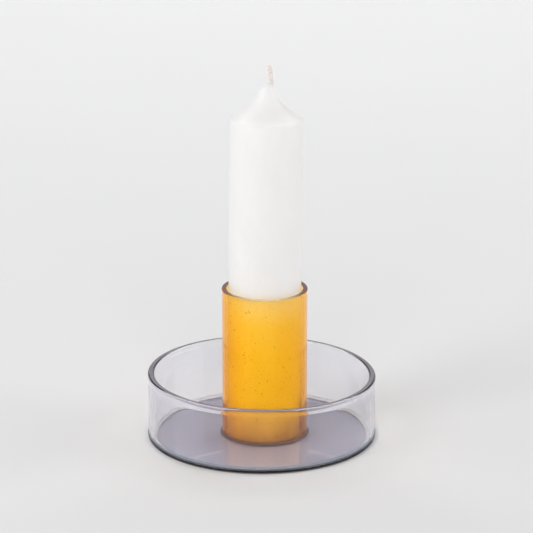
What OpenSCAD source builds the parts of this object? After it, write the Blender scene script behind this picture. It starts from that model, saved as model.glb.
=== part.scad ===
// Glass candlestick: a low smoke-grey glass dish with a short amber glass tube
// standing in the middle of it, and a straight white dinner candle in the tube.
// The dish is a flat glass disc with a ring of glass tube bonded on top of it.
// Millimetres. The part stands on z = 0, with the dish centred on the Z axis.

/* [Base disc] */
// Diameter of the base disc and of the dish wall that stands flush on it
dish_diameter = 69.3; // [60:0.1:80]
// Thickness of the flat base disc, which is the floor of the dish
disc_thickness = 1.1; // [1:0.1:4]
// Bevel ground round the lower edge of the base disc
disc_bevel = 0.5; // [0.1:0.1:0.8]

/* [Dish wall] */
// Height of the dish from the table to the top of its rim
dish_height = 19.8; // [12:0.1:30]
// Thickness of the glass tube that the dish wall is cut from
dish_wall_thickness = 1.9; // [1.2:0.1:3]
// Rounding of the two edges of the dish rim, where the cut end was melted smooth
dish_rim_rounding = 0.6; // [0.2:0.1:0.9]
// Size of the clear bead of adhesive inside the foot of the dish wall
wall_bead_size = 0.8; // [0.3:0.1:1.2]

/* [Candle tube] */
// Outside diameter of the amber glass tube
tube_diameter = 26; // [24:0.1:30]
// Wall thickness of the amber glass tube
tube_thickness = 1.4; // [1:0.1:2]
// Rounding of the two edges of the tube's mouth
tube_rim_rounding = 0.4; // [0.2:0.1:0.5]
// Length of the amber tube above the floor of the dish
tube_length = 45.6; // [25:0.1:70]
// How far the tube stands off the centre of the dish, as set by hand
tube_offset = 0.9; // [0:0.1:2]
// Size of the clear bead of adhesive round the foot of the tube
tube_bead_size = 0.5; // [0.3:0.1:1.5]

/* [Candle] */
// Diameter of the straight wax candle
candle_diameter = 22; // [20:0.1:23]
// Length of the straight part, from the candle's foot to its shoulder
candle_body_length = 97.4; // [60:0.1:230]
// Rounding at the candle's shoulder
shoulder_rounding = 0.8; // [0.3:0.1:2]
// Height of the hollow-sided point above the shoulder
point_height = 9.9; // [5:0.1:15]
// Radius of the candle where the point ends at the wick
point_end_radius = 2; // [1.6:0.1:3]
// Radius of the hollow curve down the side of the point
point_hollow_radius = 17; // [12:0.5:40]
// Height of the small cone of wax drawn up beside the wick
wax_collar_height = 1.6; // [0.5:0.1:2]

/* [Wick] */
// Diameter of the braided wick
wick_diameter = 1.6; // [1:0.1:2.5]
// Distance of the wick from the candle's centre line
wick_offset = 1.1; // [0:0.1:1.2]
// Height at which the wick starts above the candle's foot
wick_start = 2; // [1:0.5:5]
// Angle through which the bare end of the wick leans over
wick_lean = 20; // [5:1:60]
// Radius of the curve of the leaning wick end
wick_curve_radius = 14.5; // [6:0.1:30]

/* [Hidden] */
$fn = 96;
dish_radius = dish_diameter / 2;
dish_inner_radius = dish_radius - dish_wall_thickness;
tube_radius = tube_diameter / 2;
tube_top = disc_thickness + tube_length;
candle_radius = candle_diameter / 2;
candle_foot = disc_thickness;
shoulder_height = candle_foot + candle_body_length;
point_start_radius = candle_radius - shoulder_rounding;
point_start_height = shoulder_height + shoulder_rounding;
point_end_height = shoulder_height + point_height;
wick_foot = candle_foot + wick_start;
wick_bend_height = point_end_height + wax_collar_height;
bead_hollow = 0.88; // hollow of a bead's curve against its size
over = 1; // how far cutting shapes run past what they cut

// Centre of the circle that hollows the side of the candle's point
chord = [point_end_radius - point_start_radius, point_end_height - point_start_height];
chord_middle = [point_end_radius + point_start_radius, point_end_height + point_start_height] / 2;
centre_distance = sqrt(pow(point_hollow_radius, 2) - pow(norm(chord) / 2, 2));
hollow_centre = chord_middle + [chord[1], -chord[0]] / norm(chord) * centre_distance;

// Half section of a ring of glass tube with both edges of its top melted round
module ring_section(outer_radius, thickness, foot, top, rounding) {
    translate([outer_radius - thickness, foot]) {
        square([thickness, top - foot - rounding]);
        translate([rounding, 0]) square([thickness - 2 * rounding, top - foot]);
        for (x = [rounding, thickness - rounding])
            translate([x, top - foot - rounding]) circle(r = rounding);
    }
}

// Half section of a hollow-faced bead in a corner; side is 1 outside a tube, -1 inside a wall
module bead_section(corner_radius, size, side) {
    translate([corner_radius, disc_thickness])
        mirror([side < 0 ? 1 : 0, 0])
            difference() {
                square(size);
                translate([size, size]) circle(r = size * bead_hollow);
            }
}

// Half section of the wax: straight body, rounded shoulder and hollow-sided point
module wax_section() {
    translate([0, candle_foot]) square([candle_radius, candle_body_length]);
    translate([point_start_radius, shoulder_height]) circle(r = shoulder_rounding);
    translate([0, shoulder_height]) square([point_start_radius, shoulder_rounding]);
    difference() {
        translate([0, point_start_height - shoulder_rounding / 2])
            square([point_start_radius, point_height - shoulder_rounding / 2]);
        translate(hollow_centre) circle(r = point_hollow_radius);
    }
}

module base_disc() {
    color([0.36, 0.35, 0.40, 0.6]) {
        translate([0, 0, disc_bevel]) cylinder(r = dish_radius, h = disc_thickness - disc_bevel);
        cylinder(r1 = dish_radius - disc_bevel, r2 = dish_radius, h = disc_bevel);
    }
}

module dish_wall() {
    color([0.46, 0.45, 0.50, 0.45])
        rotate_extrude()
            ring_section(dish_radius, dish_wall_thickness, disc_thickness, dish_height,
                         dish_rim_rounding);
}

module wall_bond() {
    color([0.80, 0.84, 0.88, 0.5])
        rotate_extrude() bead_section(dish_inner_radius, wall_bead_size, -1);
}

module candle_tube() {
    color([0.93, 0.58, 0.12, 0.6])
        translate([tube_offset, 0, 0])
            rotate_extrude()
                ring_section(tube_radius, tube_thickness, disc_thickness, tube_top,
                             tube_rim_rounding);
}

module tube_bond() {
    color([0.62, 0.40, 0.24, 0.6])
        translate([tube_offset, 0, 0])
            rotate_extrude() bead_section(tube_radius, tube_bead_size, 1);
}

module candle() {
    color([0.95, 0.94, 0.92])
        translate([tube_offset, 0, 0])
            difference() {
                union() {
                    rotate_extrude() wax_section();
                    translate([0, 0, point_end_height])
                        cylinder(r1 = point_end_radius, r2 = point_end_radius / 2,
                                 h = wax_collar_height);
                }
                translate([wick_offset, 0, wick_foot])
                    cylinder(d = wick_diameter, h = wick_bend_height - wick_foot + over);
            }
}

module wick() {
    color([0.80, 0.68, 0.52])
        translate([tube_offset + wick_offset, 0, 0]) {
            translate([0, 0, wick_foot])
                cylinder(d = wick_diameter, h = wick_bend_height - wick_foot);
            translate([-wick_curve_radius, 0, wick_bend_height])
                rotate([90, 0, 0])
                    rotate_extrude(angle = wick_lean)
                        translate([wick_curve_radius, 0]) circle(d = wick_diameter);
        }
}

base_disc();
dish_wall();
wall_bond();
candle_tube();
tube_bond();
candle();
wick();
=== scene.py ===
import math
import random

import bmesh
import bpy
from mathutils import Matrix, Vector, noise


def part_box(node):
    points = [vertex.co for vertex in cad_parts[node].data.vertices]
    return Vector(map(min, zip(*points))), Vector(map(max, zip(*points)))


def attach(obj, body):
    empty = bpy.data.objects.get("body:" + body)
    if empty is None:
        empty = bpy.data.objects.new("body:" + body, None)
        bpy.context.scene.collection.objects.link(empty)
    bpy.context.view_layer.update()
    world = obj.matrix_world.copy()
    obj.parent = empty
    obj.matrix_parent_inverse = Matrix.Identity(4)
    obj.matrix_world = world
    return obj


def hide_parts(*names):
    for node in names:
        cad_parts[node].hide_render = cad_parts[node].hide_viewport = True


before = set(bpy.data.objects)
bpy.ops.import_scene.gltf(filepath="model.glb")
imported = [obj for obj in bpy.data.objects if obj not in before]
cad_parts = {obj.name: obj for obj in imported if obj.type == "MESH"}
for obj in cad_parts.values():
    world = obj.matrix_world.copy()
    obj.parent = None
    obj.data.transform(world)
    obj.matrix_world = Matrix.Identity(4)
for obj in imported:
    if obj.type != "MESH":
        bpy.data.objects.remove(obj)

# A glass candlestick: a smoke-grey dish, an amber tube standing in it, a white candle and its wick.
# Metres throughout. The dish stands on z = 0, centred on the Z axis.

MM = 0.001
TURN = 2 * math.pi
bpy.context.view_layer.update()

# Sizes read from the CAD nodes; box() gives the lowest and the highest corner
DISC_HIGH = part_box("base_disc")[1]
WALL_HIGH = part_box("dish_wall")[1]
WALL_BEAD_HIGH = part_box("wall_bond")[1]
TUBE_LOW, TUBE_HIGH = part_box("candle_tube")
TUBE_BEAD_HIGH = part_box("tube_bond")[1]
CANDLE_LOW, CANDLE_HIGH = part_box("candle")
WICK_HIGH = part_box("wick")[1]

DISH_RADIUS = DISC_HIGH.y
DISH_INNER_RADIUS = WALL_BEAD_HIGH.x
DISH_TOP = WALL_HIGH.z
DISC_THICKNESS = DISC_HIGH.z
WALL_BEAD_SIZE = WALL_BEAD_HIGH.z - DISC_THICKNESS
TUBE_CENTRE = (TUBE_LOW.x + TUBE_HIGH.x) / 2
TUBE_RADIUS = (TUBE_HIGH.x - TUBE_LOW.x) / 2
TUBE_TOP = TUBE_HIGH.z
TUBE_BEAD_SIZE = TUBE_BEAD_HIGH.z - DISC_THICKNESS
CANDLE_RADIUS = (CANDLE_HIGH.x - CANDLE_LOW.x) / 2
CANDLE_TOP = CANDLE_HIGH.z

# Sizes that the boxes don't show
TUBE_THICKNESS = 1.4 * MM
DISC_BEVEL = 0.42 * MM
ARRIS = 0.08 * MM  # rounding of a ground glass edge
BOND = 0.02 * MM  # how far two faces that are bonded together reach into each other
BEAD_DEPTH = 0.12 * MM  # how far a bead of adhesive reaches into the uneven glass that it bonds
GAP = 0.02 * MM  # air left between the loose candle and the dish
RIM_TILT = 0.015  # the dish rim falls this far per metre towards +X
CANDLE_LEAN = math.radians(0.66)  # the candle leans over to +X in the clearance of the tube
LEAN_HEIGHT = 42 * MM  # height at which the leaning candle still crosses the tube's centre line
WICK_RADIUS = 0.8 * MM

# Steps round a full turn
DISH_FACETS = 288  # shared by the disc, the wall and the bead, so that their faces line up
TUBE_FACETS = 192  # shared by the tube and its bead
CANDLE_FACETS = 160
FLOOR_FACETS = 96

WHITE = (1.0, 1.0, 1.0)
GLASS_IOR = 1.47
ADHESIVE_IOR = 1.48
WAX_IOR = 1.44


# ---------------------------------------------------------------- mesh helpers

def arc(centre, radius, start, end, steps):
    """Points of an arc in the (radius, height) half plane, angles in degrees."""
    points = []
    for i in range(steps + 1):
        angle = math.radians(start + (end - start) * i / steps)
        points.append((centre[0] + radius * math.cos(angle), centre[1] + radius * math.sin(angle)))
    return points


def line(start, end, steps):
    """Points from start up to, but without, end."""
    return [(start[0] + (end[0] - start[0]) * i / steps, start[1] + (end[1] - start[1]) * i / steps)
            for i in range(steps)]


def ease(share):
    """Smooth step from 0 to 1."""
    return share * share * (3 - 2 * share)


def mesh_object(name, bm, sharp_angle=40):
    """Turns a bmesh into a smooth-shaded object with sharp edges kept sharp."""
    mesh = bpy.data.meshes.new(name)
    bm.to_mesh(mesh)
    bm.free()
    mesh.shade_smooth()
    mesh.set_sharp_from_angle(angle=math.radians(sharp_angle))
    piece = bpy.data.objects.new(name, mesh)
    bpy.context.scene.collection.objects.link(piece)
    return piece


def join_rows(bm, rows, count):
    """Faces between neighbouring rows of points; a row of one point closes to a fan."""
    for low, high in rows:
        for i in range(count):
            j = (i + 1) % count
            corners = [low[i % len(low)], low[j % len(low)], high[j % len(high)], high[i % len(high)]]
            unique = list(dict.fromkeys(corners))
            if len(unique) > 2:
                bm.faces.new(unique)
    bmesh.ops.recalc_face_normals(bm, faces=bm.faces)


def lathe(outline, facets, centre=0.0, ripple=None):
    """Turns an outline of (radius, height) points round a vertical axis at x = centre.
    An outline that starts and ends on the axis gives a solid; any other is closed into a ring.
    ripple(angle, radius, height) returns a small (radial, vertical) shift, as worked glass has."""
    bm = bmesh.new()
    rows = []
    for radius, height in outline:
        on_axis = radius < 0.001 * MM
        row = []
        for i in range(1 if on_axis else facets):
            angle = TURN * i / facets
            out, lift = ripple(angle, radius, height) if ripple else (0.0, 0.0)
            far = 0.0 if on_axis else radius + out
            row.append(bm.verts.new((centre + far * math.cos(angle), far * math.sin(angle), height + lift)))
        rows.append(row)
    pairs = list(zip(rows, rows[1:]))
    solid = len(rows[0]) == 1 and len(rows[-1]) == 1
    if not solid:
        pairs.append((rows[-1], rows[0]))
    join_rows(bm, pairs, facets)
    return bm


def ring_outline(outer, inner, foot, top, corner, lip, wall_steps=10, corner_steps=6):
    """Half section of a glass ring: ground foot, straight walls and a melted rim.
    Melting rounds both corners, leaves a nearly flat top and swells the faces a little below it.
    lip is (outward swelling, inward swelling, depth where it starts, depth where it is full)."""
    lip_out, lip_in, lip_start, lip_full = lip
    face, bore = outer - lip_out, inner - lip_in
    rise = lip_start - lip_full
    shares = [i / corner_steps for i in range(corner_steps + 1)]
    outline = arc((face - ARRIS, foot + ARRIS), ARRIS, -90, 0, 3)
    outline += line((face, foot + 2 * ARRIS), (face, top - lip_start), wall_steps)
    outline += [(face + lip_out * ease(share), top - lip_start + rise * share) for share in shares]
    outline += arc((outer - corner, top - corner), corner, 0, 90, corner_steps)
    outline += arc((bore + corner, top - corner), corner, 90, 180, corner_steps)
    outline += [(bore + lip_in * ease(share), top - lip_full - rise * share) for share in shares]
    outline += line((inner, top - lip_start), (inner, foot + 2 * ARRIS), wall_steps)[1:]
    outline += [(inner, foot + 2 * ARRIS)]
    outline += arc((inner + ARRIS, foot + ARRIS), ARRIS, 180, 270, 3)
    return outline


def waves(seed, size, turns=(2, 3, 5), drift=30.0):
    """A smooth, closed unevenness round a turned piece: a few waves whose phase drifts with height."""
    draw = random.Random(seed)
    terms = [(n, draw.uniform(0, TURN), draw.uniform(-1, 1) * drift, draw.uniform(0.5, 1) / (i + 1))
             for i, n in enumerate(turns)]

    def value(angle, height):
        return size * sum(share * math.cos(n * angle + phase + rate * height)
                          for n, phase, rate, share in terms)
    return value


# ---------------------------------------------------------------- material helpers

def new_material(name):
    """An empty material with its node tree and its shader."""
    material = bpy.data.materials.new(name)
    material.use_nodes = True
    tree = material.node_tree
    return material, tree, tree.nodes["Principled BSDF"]


def set_inputs(shader, **values):
    """Uniform values on the shader's own sockets; an underscore stands for a space."""
    for name, value in values.items():
        shader.inputs[name.replace("_", " ")].default_value = value


def add_node(tree, kind, **settings):
    """A new node; each setting goes to its socket of that name, or else to the node itself."""
    node = tree.nodes.new(kind)
    for key, value in settings.items():
        if key in node.inputs:
            node.inputs[key].default_value = value
        else:
            setattr(node, key, value)
    return node


def noise_texture(tree, scale, detail=3.0, stretch=(1, 1, 1)):
    """Noise in the object's own metres; stretch below 1 draws it out along that axis."""
    place = add_node(tree, "ShaderNodeTexCoord")
    mapping = add_node(tree, "ShaderNodeMapping", Scale=stretch)
    texture = add_node(tree, "ShaderNodeTexNoise", Scale=scale, Detail=detail)
    tree.links.new(place.outputs["Object"], mapping.inputs["Vector"])
    tree.links.new(mapping.outputs["Vector"], texture.inputs["Vector"])
    return texture.outputs["Fac"]


def position(tree):
    """The X, Y and Z outputs of a point's place in the object's own metres."""
    place = add_node(tree, "ShaderNodeTexCoord")
    split = add_node(tree, "ShaderNodeSeparateXYZ")
    tree.links.new(place.outputs["Object"], split.inputs["Vector"])
    return split.outputs


def colour_ramp(tree, factor, stops):
    """Colours by factor; stops are (position, colour) pairs in rising order."""
    ramp = add_node(tree, "ShaderNodeValToRGB")
    elements = ramp.color_ramp.elements
    for place, _ in stops[1:-1]:
        elements.new(place)
    for element, (place, colour) in zip(elements, stops):
        element.position = place
        element.color = (*colour, 1)
    tree.links.new(factor, ramp.inputs["Fac"])
    return ramp.outputs["Color"]


def blend_colours(tree, factor, low, high, start=0.3, end=0.7):
    """From one colour to another; the default start and end are the usual spread of a noise."""
    return colour_ramp(tree, factor, [(start, low), (end, high)])


def rescale(tree, factor, low, high, start=0.3, end=0.7):
    """Maps start..end onto low..high and clamps it."""
    node = add_node(tree, "ShaderNodeMapRange")
    for name, value in (("From Min", start), ("From Max", end), ("To Min", low), ("To Max", high)):
        node.inputs[name].default_value = value
    tree.links.new(factor, node.inputs["Value"])
    return node.outputs["Result"]


def maths(tree, operation, *values):
    """One step of arithmetic on other nodes' outputs."""
    node = add_node(tree, "ShaderNodeMath", operation=operation)
    for value, socket in zip(values, node.inputs):
        tree.links.new(value, socket)
    return node.outputs["Value"]


def multiply_colours(tree, colour, layers):
    """A colour multiplied by each of the layers in turn."""
    for layer in layers:
        mix = add_node(tree, "ShaderNodeMixRGB", blend_type="MULTIPLY", Fac=1.0)
        tree.links.new(colour, mix.inputs["Color1"])
        tree.links.new(layer, mix.inputs["Color2"])
        colour = mix.outputs["Color"]
    return colour


def bump(tree, shader, height, distance, strength=1.0):
    """Fine relief; distance is its depth in metres."""
    node = add_node(tree, "ShaderNodeBump", Strength=strength, Distance=distance)
    tree.links.new(height, node.inputs["Height"])
    tree.links.new(node.outputs["Normal"], shader.inputs["Normal"])


# ---------------------------------------------------------------- materials

def glass(name, tint, absorption, density, roughness=(0.0, 0.02)):
    """Coloured glass: the colour comes from the depth of glass that light crosses.
    tint is a pair of surface colours, roughness the clean and the handled value."""
    material, tree, shader = new_material(name)
    set_inputs(shader, Transmission_Weight=1.0, IOR=GLASS_IOR)
    cloud = noise_texture(tree, 90.0)
    tree.links.new(blend_colours(tree, cloud, *tint), shader.inputs["Base Color"])
    smear = noise_texture(tree, 160.0, detail=4.0, stretch=(1, 1, 0.5))
    tree.links.new(rescale(tree, smear, *roughness, start=0.5, end=0.8), shader.inputs["Roughness"])
    surface = noise_texture(tree, 220.0, detail=1.5, stretch=(1, 1, 0.3))
    bump(tree, shader, surface, 0.004 * MM)
    depth = add_node(tree, "ShaderNodeVolumeAbsorption", Color=(*absorption, 1), Density=density)
    tree.links.new(depth.outputs["Volume"], tree.nodes["Material Output"].inputs["Volume"])
    return material


def amber_glass():
    """Amber glass with painted light and shade in its colour: pale at the mouth where light comes in from
    above, deeper towards the foot and towards its two sides.
    A faint painted glow of its own, though the glass is no lamp, brightens it everywhere below the mouth."""
    material = glass("amber_glass", ((0.995, 0.99, 0.98), WHITE), (0.993, 0.804, 0.03), 700.0)
    tree = material.node_tree
    shader = tree.nodes["Principled BSDF"]
    # Amber tint on the reflections; the emission colour is the red of a painted glow
    set_inputs(shader, Specular_Tint=(1.0, 0.85, 0.25, 1), Emission_Color=(1.0, 0.2, 0.0, 1))
    cloud = shader.inputs["Base Color"].links[0].from_socket
    x, _, z = position(tree)

    # Painted glow: the tube gives off faint light of its own below the mouth, though it is no lamp
    painted_glow = rescale(tree, z, 0.04, 0.0, start=TUBE_TOP - 1.0 * MM, end=TUBE_TOP - 0.5 * MM)
    tree.links.new(painted_glow, shader.inputs["Emission Strength"])

    # Painted light and shade by the share of the tube's height: pale near the mouth where light comes in
    # from above, deeper towards the foot that the dish shades; faint streaks make the edges uneven
    streaks = rescale(tree, noise_texture(tree, 60.0, stretch=(1, 1, 0.4)), -0.04, 0.04)
    height = rescale(tree, z, 0.0, 1.0, start=DISC_THICKNESS, end=TUBE_TOP)
    painted_height_light = colour_ramp(tree, maths(tree, "ADD", height, streaks),
                          [(0.0, (0.79, 0.67, 0.30)), (0.07, (0.80, 0.68, 0.30)),
                           (0.15, (0.87, 0.77, 0.32)), (0.3, (0.98, 0.90, 0.34)),
                           (0.6, (1.0, 0.92, 0.34)), (0.8, (1.0, 0.94, 0.5)),
                           (0.92, (1.0, 1.0, 0.9)), (1.0, WHITE)])

    # Painted light and shade by side: deeper on the lit left side, a little duller on the shaded right side,
    # darkest low on the right in the dish's shade
    from_left = rescale(tree, x, 0.0, 1.0, start=TUBE_LOW.x, end=TUBE_CENTRE)
    to_right = rescale(tree, x, 0.0, 1.0, start=TUBE_CENTRE, end=TUBE_HIGH.x)
    lowness = rescale(tree, z, 1.0, 0.0, start=4 * MM, end=15 * MM)
    left = blend_colours(tree, from_left, (0.95, 0.86, 0.45), WHITE, start=0.05, end=0.6)
    right = blend_colours(tree, to_right, WHITE, (0.95, 0.93, 0.97), start=0.2, end=0.9)
    painted_low_right_shade = blend_colours(tree, maths(tree, "MULTIPLY", to_right, lowness),
                              WHITE, (0.80, 0.81, 0.86), start=0.2, end=0.9)

    fine = noise_texture(tree, 1800.0, detail=2.0)
    specks = blend_colours(tree, fine, (0.74, 0.60, 0.45), WHITE, start=0.27, end=0.34)
    colour = multiply_colours(tree, cloud, (painted_height_light, left, right, painted_low_right_shade, specks))
    tree.links.new(colour, shader.inputs["Base Color"])
    return material


def ground_glass(name, low, high):
    """Ground glass of a cut edge: matt, because its tiny pits scatter the light."""
    material, tree, shader = new_material(name)
    grain = noise_texture(tree, 1500.0, detail=4.0)
    tree.links.new(blend_colours(tree, grain, low, high), shader.inputs["Base Color"])
    tree.links.new(rescale(tree, grain, 0.55, 0.75), shader.inputs["Roughness"])
    bump(tree, shader, grain, 0.02 * MM, 0.6)
    return material


def amber_mouth():
    """Melted mouth of the amber tube, with painted shade: pale in front and behind, shaded deep brown
    towards its two sides.
    """
    material, tree, shader = new_material("amber_mouth")
    x = position(tree)["X"]
    aside = maths(tree, "ABSOLUTE", rescale(tree, x, -1.0, 1.0, start=TUBE_LOW.x, end=TUBE_HIGH.x))
    # Painted shade: the colour darkens from pale in front and behind to deep brown at the two sides
    across = blend_colours(tree, aside, (0.88, 0.72, 0.52), (0.20, 0.13, 0.11), start=0.3, end=0.86)
    grain = noise_texture(tree, 1500.0, detail=4.0)
    pits = blend_colours(tree, grain, (0.8, 0.8, 0.8), WHITE)
    tree.links.new(multiply_colours(tree, across, (pits,)), shader.inputs["Base Color"])
    tree.links.new(rescale(tree, grain, 0.45, 0.65), shader.inputs["Roughness"])
    bump(tree, shader, grain, 0.02 * MM, 0.6)
    return material


def adhesive(name, low, high, transmission):
    """Cured adhesive with fine bubbles: cloudy, so part of the light is scattered."""
    material, tree, shader = new_material(name)
    set_inputs(shader, Transmission_Weight=transmission, IOR=ADHESIVE_IOR)
    cloud = noise_texture(tree, 700.0, detail=4.0)
    tree.links.new(blend_colours(tree, cloud, low, high), shader.inputs["Base Color"])
    tree.links.new(rescale(tree, cloud, 0.3, 0.36), shader.inputs["Roughness"])
    bump(tree, shader, cloud, 0.005 * MM, 0.5)
    return material


def wax_material():
    """Pressed white wax: light goes in and scatters; a satin skin with faint drawn lines and pits."""
    material, tree, shader = new_material("white_wax")
    set_inputs(shader, Subsurface_Weight=0.75, Subsurface_Radius=(1.0, 0.9, 0.8),
               Subsurface_Scale=8.0 * MM, IOR=WAX_IOR, Coat_Weight=0.1, Coat_Roughness=0.3)
    cloud = noise_texture(tree, 130.0, detail=4.0, stretch=(1, 1, 0.35))
    colour = blend_colours(tree, cloud, (0.90, 0.885, 0.87), (0.94, 0.93, 0.92))
    tree.links.new(colour, shader.inputs["Base Color"])
    skin = noise_texture(tree, 700.0, detail=3.0, stretch=(1, 1, 0.2))
    tree.links.new(rescale(tree, skin, 0.34, 0.5), shader.inputs["Roughness"])
    grain = noise_texture(tree, 900.0, detail=5.0, stretch=(1, 1, 0.3))
    bump(tree, shader, grain, 0.02 * MM, 0.6)
    return material


def wick_material():
    """White braided cotton soaked in wax."""
    material, tree, shader = new_material("cotton_wick")
    set_inputs(shader, Subsurface_Weight=0.15, Subsurface_Radius=(1.0, 0.8, 0.65),
               Subsurface_Scale=0.9 * MM, Sheen_Weight=0.2)
    cloud = noise_texture(tree, 900.0, detail=4.0)
    colour = blend_colours(tree, cloud, (0.90, 0.80, 0.73), (0.96, 0.88, 0.82))
    tree.links.new(colour, shader.inputs["Base Color"])
    tree.links.new(rescale(tree, cloud, 0.55, 0.8), shader.inputs["Roughness"])
    fibre = noise_texture(tree, 3500.0, detail=4.0, stretch=(1, 1, 0.35))
    bump(tree, shader, fibre, 0.05 * MM, 0.8)
    return material


def floor_material():
    """Matt, nearly white studio paper."""
    material, tree, shader = new_material("studio_floor")
    cloud = noise_texture(tree, 6.0, detail=5.0)
    colour = blend_colours(tree, cloud, (0.815, 0.815, 0.82), (0.825, 0.825, 0.83))
    tree.links.new(colour, shader.inputs["Base Color"])
    set_inputs(shader, Roughness=0.9, Specular_IOR_Level=0.1)
    return material


SMOKE_TINT = ((0.985, 0.985, 0.99), WHITE)
SMOKE_DISC = glass("smoke_disc_glass", SMOKE_TINT, (0.2, 0.2, 0.54), 190.0, roughness=(0.02, 0.05))
SMOKE_WALL = glass("smoke_wall_glass", SMOKE_TINT, (0.25, 0.225, 0.5), 54.0)
# The ground bevel is matt glass whose dark grey is partly painted shade: the contact shadow under the disc's
# edge
GROUND_BEVEL_AND_SHADE = ground_glass("ground_bevel_and_shade", (0.26, 0.235, 0.22), (0.36, 0.33, 0.31))
GROUND_RIM = ground_glass("ground_smoke_rim", (0.20, 0.185, 0.21), (0.28, 0.26, 0.30))
AMBER_MOUTH = amber_mouth()
AMBER = amber_glass()
CLEAR_BEAD = adhesive("clear_adhesive", (0.84, 0.89, 0.97), (0.90, 0.94, 1.0), 0.2)
# The amber bead's dark brown is partly painted shade: the shadow in the gap at the tube's foot
AMBER_BEAD_AND_SHADE = adhesive("amber_adhesive", (0.13, 0.075, 0.035), (0.23, 0.13, 0.06), 0.4)
WAX = wax_material()
COTTON = wick_material()


def finish_piece(piece, material, node, body):
    """Gives a piece its material and its body, and hides the CAD node it stands for."""
    piece.data.materials.append(material)
    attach(piece, body)
    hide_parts(node)


def grind(piece, material, is_ground):
    """Gives the faces for which is_ground(face) holds a matt glass of their own."""
    piece.data.materials.append(material)
    for face in piece.data.polygons:
        if is_ground(face):
            face.material_index = 1


def rim_test(lowest, upright):
    """Picks the faces of a rim above lowest that look up at least as much as upright."""
    return lambda face: face.center.z > lowest and face.normal.z > upright


# ---------------------------------------------------------------- the dish

def base_disc():
    """Flat disc of sheet glass with a bevel ground round its lower edge and a fine arris above."""
    radii = [DISH_RADIUS * share for share in (0.0, 0.2, 0.4, 0.6, 0.8, 0.93)]
    bevel_start = DISH_RADIUS - DISC_BEVEL
    outline = [(radius, 0.0) for radius in radii]
    outline += [(bevel_start, 0.0), (DISH_RADIUS, DISC_BEVEL)]
    outline += arc((DISH_RADIUS - ARRIS, DISC_THICKNESS - ARRIS), ARRIS, 0, 90, 3)
    outline += [(radius, DISC_THICKNESS) for radius in reversed(radii)]
    piece = mesh_object("base_disc_glass", lathe(outline, DISH_FACETS), sharp_angle=12)
    finish_piece(piece, SMOKE_DISC, "base_disc", "holder")

    def on_bevel(face):
        return face.center.z < DISC_BEVEL and face.normal.z < 0 and face.center.xy.length > bevel_start
    grind(piece, GROUND_BEVEL_AND_SHADE, on_bevel)


def dish_wall():
    """Ring of smoke glass. Its rim was cut a little out of level and melted smooth."""
    foot = DISC_THICKNESS - BOND
    unevenness = 0.03 * MM
    inset = 0.05 * MM  # keeps the uneven rim within the wall's nominal radius
    outline = ring_outline(DISH_RADIUS, DISH_INNER_RADIUS, foot, DISH_TOP, corner=0.65 * MM,
                           lip=(0.15 * MM, 0.12 * MM, 2.2 * MM, 1.0 * MM))
    radial, vertical = waves(11, unevenness), waves(12, unevenness, drift=0)

    def ripple(angle, radius, height):
        share = (height - foot) / (DISH_TOP - foot)
        tilt = -RIM_TILT * radius * math.cos(angle)
        return (radial(angle, height) - inset) * share, (tilt + vertical(angle, height)) * share
    piece = mesh_object("dish_wall_glass", lathe(outline, DISH_FACETS, ripple=ripple))
    finish_piece(piece, SMOKE_WALL, "dish_wall", "holder")
    grind(piece, GROUND_RIM, rim_test(DISH_TOP - 1.0 * MM, 0.95))


def bead_outline(corner_radius, size, side):
    """Half section of a bead of adhesive in a corner. side 1 lies outside a tube, -1 inside a wall."""
    hollow = 0.88 * size  # radius of the bead's hollow face
    near = corner_radius - side * BEAD_DEPTH
    low = DISC_THICKNESS - 2 * BOND
    far, high = corner_radius + side * size, DISC_THICKNESS + size
    start, end = (270, 180) if side > 0 else (270, 360)
    return [(near, low), (far, low)] + arc((far, high), hollow, start, end, 8) + [(near, high)]


def bead(name, node, facets, centre, corner_radius, size, side, material, seed):
    """Bead of adhesive in the corner between the dish floor and a glass ring, with an uneven edge."""
    uneven = waves(seed, 0.05 * MM, turns=(3, 7, 13), drift=0)

    def ripple(angle, radius, height):
        away = abs(radius - corner_radius) / size
        above = (height - DISC_THICKNESS) / size
        return side * uneven(angle, 0) * away * 0.8, uneven(angle + 1, 0) * above * 0.8
    outline = bead_outline(corner_radius, size, side)
    piece = mesh_object(name, lathe(outline, facets, centre, ripple))
    finish_piece(piece, material, node, "holder")


# ---------------------------------------------------------------- the amber tube

def add_seed(bm, centre, radii, turn):
    """A tiny closed bubble inside the glass, so its faces look into its own hollow."""
    made = bmesh.ops.create_icosphere(bm, subdivisions=1, radius=1.0)
    matrix = Matrix.Translation(centre) @ Matrix.Rotation(turn, 4, "Z") @ Matrix.Diagonal((*radii, 1))
    bmesh.ops.transform(bm, matrix=matrix, verts=made["verts"])
    faces = {face for vert in made["verts"] for face in vert.link_faces}
    bmesh.ops.reverse_faces(bm, faces=list(faces))


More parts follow.
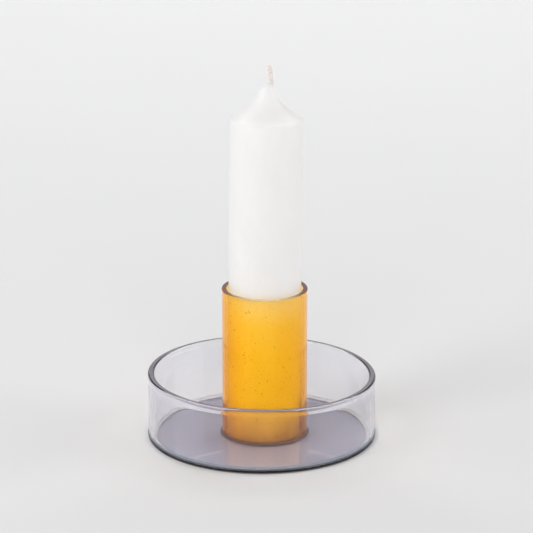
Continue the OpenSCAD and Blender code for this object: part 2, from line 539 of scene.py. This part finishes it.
def candle_tube():
    """Amber glass tube with a melted rim, slightly uneven walls and a scatter of seeds in the glass."""
    foot = DISC_THICKNESS - BOND
    inset = 0.04 * MM  # keeps the uneven wall within the tube's nominal radius
    outline = ring_outline(TUBE_RADIUS, TUBE_RADIUS - TUBE_THICKNESS, foot, TUBE_TOP,
                           corner=0.38 * MM, lip=(0.10 * MM, 0.04 * MM, 1.25 * MM, 0.45 * MM),
                           wall_steps=24)
    radial = waves(21, 0.035 * MM, turns=(2, 3, 7))
    vertical = waves(22, 0.05 * MM, drift=0)

    def ripple(angle, radius, height):
        share = (height - foot) / (TUBE_TOP - foot)
        return radial(angle, height) - inset, vertical(angle, height) * share
    bm = lathe(outline, TUBE_FACETS, TUBE_CENTRE, ripple)
    draw = random.Random(5)
    middle = TUBE_RADIUS - TUBE_THICKNESS / 2
    seeds = 150
    for _ in range(seeds):
        angle = draw.uniform(0, TURN)
        radius = middle + draw.uniform(-0.25, 0.25) * TUBE_THICKNESS
        height = foot + (TUBE_TOP - foot) * draw.uniform(0.03, 0.96)
        size = draw.uniform(0.06, 0.16) * MM
        centre = Vector((TUBE_CENTRE + radius * math.cos(angle), radius * math.sin(angle), height))
        add_seed(bm, centre, (size, size, size * draw.uniform(1.0, 2.2)), angle)
    piece = mesh_object("candle_tube_glass", bm)
    finish_piece(piece, AMBER, "candle_tube", "holder")
    grind(piece, AMBER_MOUTH, rim_test(TUBE_TOP - 0.45 * MM, 0.7))


# ---------------------------------------------------------------- the candle

def lean(piece):
    """Tips a piece of the candle over to +X, as the candle stands askew in the tube's clearance."""
    pivot = Vector((TUBE_CENTRE, 0, LEAN_HEIGHT))
    turn = Matrix.Rotation(CANDLE_LEAN, 4, "Y")
    piece.data.transform(Matrix.Translation(pivot) @ turn @ Matrix.Translation(-pivot))


def hollow_side(start, end, radius, steps):
    """Arc from start to end that is hollow towards the outside, without its first point."""
    chord = Vector(end) - Vector(start)
    middle = (Vector(end) + Vector(start)) / 2
    away = Vector((chord.y, -chord.x)).normalized()
    centre = middle + away * math.sqrt(radius ** 2 - (chord.length / 2) ** 2)
    angles = [math.degrees(math.atan2(point[1] - centre.y, point[0] - centre.x)) % 360
              for point in (start, end)]
    return arc(centre, radius, *angles, steps)[1:]


def candle():
    """Pressed wax candle: straight body, soft shoulder, hollow-sided point drawn up to the wick."""
    top = CANDLE_TOP
    foot = CANDLE_LOW.z + GAP + CANDLE_RADIUS * math.sin(CANDLE_LEAN)
    point_height, collar_height = 9.9 * MM, 1.6 * MM
    shoulder = top - collar_height - point_height
    rounding, foot_rounding = 0.8 * MM, 0.4 * MM
    point_start = (CANDLE_RADIUS - rounding, shoulder + rounding)
    point_end = (2.0 * MM, shoulder + point_height)

    outline = [(0.0, foot), (CANDLE_RADIUS * 0.5, foot)]
    outline += arc((CANDLE_RADIUS - foot_rounding, foot + foot_rounding), foot_rounding, -90, 0, 4)
    outline += line((CANDLE_RADIUS, foot + foot_rounding), (CANDLE_RADIUS, shoulder), 60)[1:]
    outline += arc((CANDLE_RADIUS - rounding, shoulder), rounding, 0, 75, 6)
    outline += hollow_side(point_start, point_end, radius=17 * MM, steps=22)
    # The collar of wax round the wick, with a soft upper edge
    outline += line(point_end, (1.0 * MM, top - 0.2 * MM), 8)[1:]
    outline += [(0.95 * MM, top - 0.12 * MM), (0.7 * MM, top - 0.03 * MM), (0.4 * MM, top), (0.0, top)]

    body = waves(31, 0.035 * MM, drift=60)
    inset = 0.05 * MM  # keeps the uneven wax within the candle's nominal radius
    lump_size, lumps_per_metre = 0.12 * MM, 350

    def ripple(angle, radius, height):
        out = body(angle, height) - inset
        if height > shoulder:
            place = Vector((radius * math.cos(angle), radius * math.sin(angle), height))
            lump = lump_size * noise.noise(place * lumps_per_metre)
            out += lump * min(1.0, (height - shoulder) / (2 * MM))
        return out * min(1.0, radius / (1.5 * MM)), 0.0
    bm = lathe(outline, CANDLE_FACETS, TUBE_CENTRE, ripple)
    drawn_to_wick = 0.55 * MM
    for vert in bm.verts:
        above = (vert.co.z - point_end[1]) / (top - point_end[1])
        if above > 0:
            vert.co.x += drawn_to_wick * ease(above)
    piece = mesh_object("candle_wax", bm, sharp_angle=50)
    lean(piece)
    finish_piece(piece, WAX, "candle", "candle")


def wick_line(count):
    """Centre line of the wick: (place, direction) pairs, straight out of the wax, then leaning to -X."""
    axis_x = WICK_HIGH.x - WICK_RADIUS
    bend_angle, curve_radius = math.radians(20), 14.5 * MM
    end_rounding = 0.12 * MM
    straight = 3 * MM  # part below the bend, mostly in the wax
    length = straight + bend_angle * curve_radius + end_rounding
    points = []
    for i in range(count):
        past_bend = length * i / (count - 1) - straight
        if past_bend <= 0:
            points.append((Vector((axis_x, 0, CANDLE_TOP + past_bend)), Vector((0, 0, 1))))
        else:
            angle = past_bend / curve_radius
            place = Vector((axis_x - curve_radius * (1 - math.cos(angle)), 0,
                            CANDLE_TOP + curve_radius * math.sin(angle)))
            points.append((place, Vector((-math.sin(angle), 0, math.cos(angle)))))
    return points


def wick():
    """Braided cotton wick: three strands plaited round one another, each a closed soft cord."""
    strands, plaits = 3, 3.2
    rings, sides = 120, 10
    strand_radius = 0.43 * MM
    plait_width, plait_depth = 0.33 * MM, 0.2 * MM
    taper_start = 0.93  # share of the length at which the strands start to narrow to their ends
    bm = bmesh.new()
    centre_line = wick_line(rings)
    side = Vector((0, 1, 0))
    for strand in range(strands):
        rows = []
        for i, (point, along) in enumerate(centre_line):
            share = i / (rings - 1)
            across = along.cross(side)
            phase = TURN * (plaits * share + strand / strands)
            past_taper = max(0.0, (share - taper_start) / (1 - taper_start))
            fullness = math.sqrt(max(0.0, 1 - past_taper ** 2))
            place = point + across * plait_width * math.sin(phase) + side * plait_depth * math.sin(2 * phase)
            fat = strand_radius * (0.35 + 0.65 * fullness) * (1 + 0.05 * math.sin(9 * phase))
            angles = [TURN * k / sides for k in range(sides)]
            rows.append([bm.verts.new(place + (across * math.cos(a) + side * math.sin(a)) * fat)
                         for a in angles])
        bm.faces.new(list(reversed(rows[0])))
        bm.faces.new(rows[-1])
        join_rows(bm, zip(rows, rows[1:]), sides)
    piece = mesh_object("wick_braid", bm, sharp_angle=60)
    lean(piece)
    finish_piece(piece, COTTON, "wick", "candle")


base_disc()
dish_wall()
bead("wall_adhesive_bead", "wall_bond", DISH_FACETS, 0.0, DISH_INNER_RADIUS, WALL_BEAD_SIZE, -1,
     CLEAR_BEAD, 41)
candle_tube()
bead("tube_adhesive_bead", "tube_bond", TUBE_FACETS, TUBE_CENTRE, TUBE_RADIUS, TUBE_BEAD_SIZE, 1,
     AMBER_BEAD_AND_SHADE, 42)
candle()
wick()


# ---------------------------------------------------------------- studio

def studio_floor():
    """A pale round floor whose far edge sweeps up into the backdrop, the same from every side."""
    flat, sweep = 1.2, 0.45
    sweep_steps = 16
    drop = 0.03 * MM  # keeps the floor clear of the underside of the dish
    outline = [(radius, -drop) for radius in (0.0, 0.1, 0.4, 0.8)]
    angles = [math.pi / 2 * i / sweep_steps for i in range(sweep_steps + 1)]
    outline += [(flat + sweep * math.sin(a), sweep * (1 - math.cos(a)) - drop) for a in angles]
    bm = bmesh.new()
    rows = []
    for radius, height in outline:
        turns = [TURN * i / FLOOR_FACETS for i in range(FLOOR_FACETS if radius else 1)]
        rows.append([bm.verts.new((radius * math.cos(a), radius * math.sin(a), height)) for a in turns])
    join_rows(bm, zip(rows, rows[1:]), FLOOR_FACETS)
    floor = mesh_object("studio_floor", bm)
    floor.data.materials.append(floor_material())


def area_light(name, place, target, size, power):
    """A softbox that looks at target; size is (width, height), power is in watts."""
    light = bpy.data.lights.new(name, "AREA")
    light.shape = "RECTANGLE"
    light.size, light.size_y = size
    light.energy = power
    lamp = bpy.data.objects.new(name, light)
    lamp.location = place
    lamp.rotation_euler = (Vector(target) - Vector(place)).to_track_quat("-Z", "Y").to_euler()
    bpy.context.scene.collection.objects.link(lamp)


def world_light(strength):
    """An even sky that fills the shadows."""
    world = bpy.data.worlds.new("studio_sky")
    world.use_nodes = True
    background = world.node_tree.nodes["Background"]
    background.inputs["Color"].default_value = (1.0, 1.0, 1.02, 1)
    background.inputs["Strength"].default_value = strength
    bpy.context.scene.world = world


def camera():
    """The photo's viewpoint: a long lens in front of the dish, looking down at it."""
    pitch, yaw = 0.30184, 0.0018
    data = bpy.data.cameras.new("photo_camera")
    data.sensor_width = 36
    data.lens = 189.1
    data.clip_start = 0.01
    data.clip_end = 20
    viewer = bpy.data.objects.new("photo_camera", data)
    viewer.location = (0, -0.802, 0.303)
    viewer.rotation_euler = (math.pi / 2 - pitch, 0, -yaw)
    bpy.context.scene.collection.objects.link(viewer)
    bpy.context.scene.camera = viewer


def at_angle(azimuth, elevation, distance):
    """A point that far from the origin; azimuth from +X towards +Y, both angles in degrees."""
    azimuth, elevation = math.radians(azimuth), math.radians(elevation)
    level = math.cos(elevation)
    return distance * Vector((math.cos(azimuth) * level, math.sin(azimuth) * level, math.sin(elevation)))


studio_floor()
world_light(0.15)
area_light("key_softbox", at_angle(218, 40, 1.1), (0, 0, 0.05), (0.4, 0.4), 2.9)
area_light("left_softbox", (-1.1, 0, 0.6), (0, 0, 0.1), (1.0, 0.8), 2.85)
area_light("right_softbox", (1.1, 0, 0.6), (0, 0, 0.1), (1.0, 0.8), 5.4)
area_light("front_softbox", (0, -1.3, 0.7), (0, 0, 0.1), (1.0, 0.8), 6.4)
area_light("top_softbox", (0, 0.85, 1.0), (0, 0.75, 0), (1.6, 0.5), 9.3)
camera()

# Plain colours, enough bounces for light to cross all the walls of glass, and no blurring of
# the light that has crossed them
scene = bpy.context.scene
scene.view_settings.view_transform = "Standard"
scene.view_settings.look = "None"
scene.cycles.use_denoising = True
scene.cycles.max_bounces = 24
scene.cycles.transmission_bounces = 24
scene.cycles.glossy_bounces = 12
scene.cycles.diffuse_bounces = 6
scene.cycles.blur_glossy = 0.0
scene.cycles.caustics_refractive = True
scene.cycles.caustics_reflective = True
